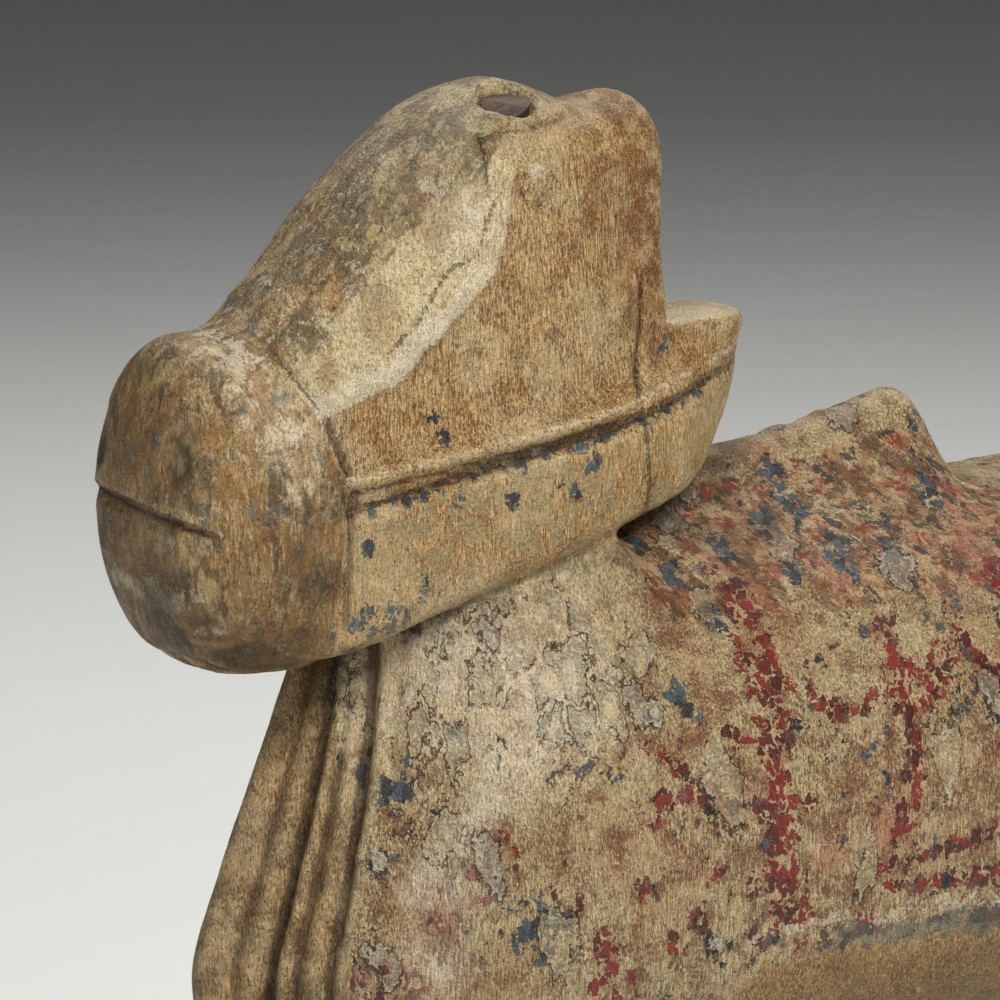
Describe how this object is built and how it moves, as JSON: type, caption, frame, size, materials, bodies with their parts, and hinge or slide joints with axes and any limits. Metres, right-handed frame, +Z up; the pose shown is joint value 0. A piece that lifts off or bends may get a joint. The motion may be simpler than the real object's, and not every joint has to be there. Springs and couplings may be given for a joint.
{
  "type": "toy bull",
  "caption": "Carved wooden humped bull on turned wooden wheels, a pull toy with an iron eye for its cord.",
  "frame": {"origin": "on the floor under the middle of the bull's bounding box", "axes": "+Y along the bull from nose to tail, +X to the bull's left side, +Z up"},
  "size_m": [0.1712, 0.4513, 0.355],
  "materials": {
    "painted_wood": "worn paint over chalk ground",
    "horn_tenon": "broken end grain",
    "wheel_wood": "worn bare wood",
    "forged_iron": "rusted"
  },
  "bodies": {
    "bull": {"carved_bull": "painted_wood", "horn_stub_left": "horn_tenon", "horn_stub_right": "horn_tenon", "front_axle": "forged_iron", "rear_axle": "forged_iron", "front_left_inner_washer": "forged_iron", "front_right_inner_washer": "forged_iron", "rear_left_inner_washer": "forged_iron", "rear_right_inner_washer": "forged_iron", "front_left_outer_washer": "forged_iron", "front_right_outer_washer": "forged_iron", "rear_left_outer_washer": "forged_iron", "rear_right_outer_washer": "forged_iron", "front_left_linchpin": "forged_iron", "front_right_linchpin": "forged_iron", "rear_left_linchpin": "forged_iron", "rear_right_linchpin": "forged_iron", "tow_eye": "forged_iron"},
    "front_left": {"front_left_wheel": "wheel_wood"},
    "front_right": {"front_right_wheel": "wheel_wood"},
    "rear_left": {"rear_left_wheel": "wheel_wood"},
    "rear_right": {"rear_right_wheel": "wheel_wood"}
  },
  "joints": [
    {"name": "front_left_spin", "type": "hinge", "parent": "bull", "child": "front_left", "pos_m": [0.0638, -0.14, 0.04], "axis": [1, 0, 0], "continuous": true},
    {"name": "front_right_spin", "type": "hinge", "parent": "bull", "child": "front_right", "pos_m": [-0.0638, -0.14, 0.04], "axis": [1, 0, 0], "continuous": true},
    {"name": "rear_left_spin", "type": "hinge", "parent": "bull", "child": "rear_left", "pos_m": [0.0638, 0.152, 0.04], "axis": [1, 0, 0], "continuous": true},
    {"name": "rear_right_spin", "type": "hinge", "parent": "bull", "child": "rear_right", "pos_m": [-0.0638, 0.152, 0.04], "axis": [1, 0, 0], "continuous": true}
  ]
}
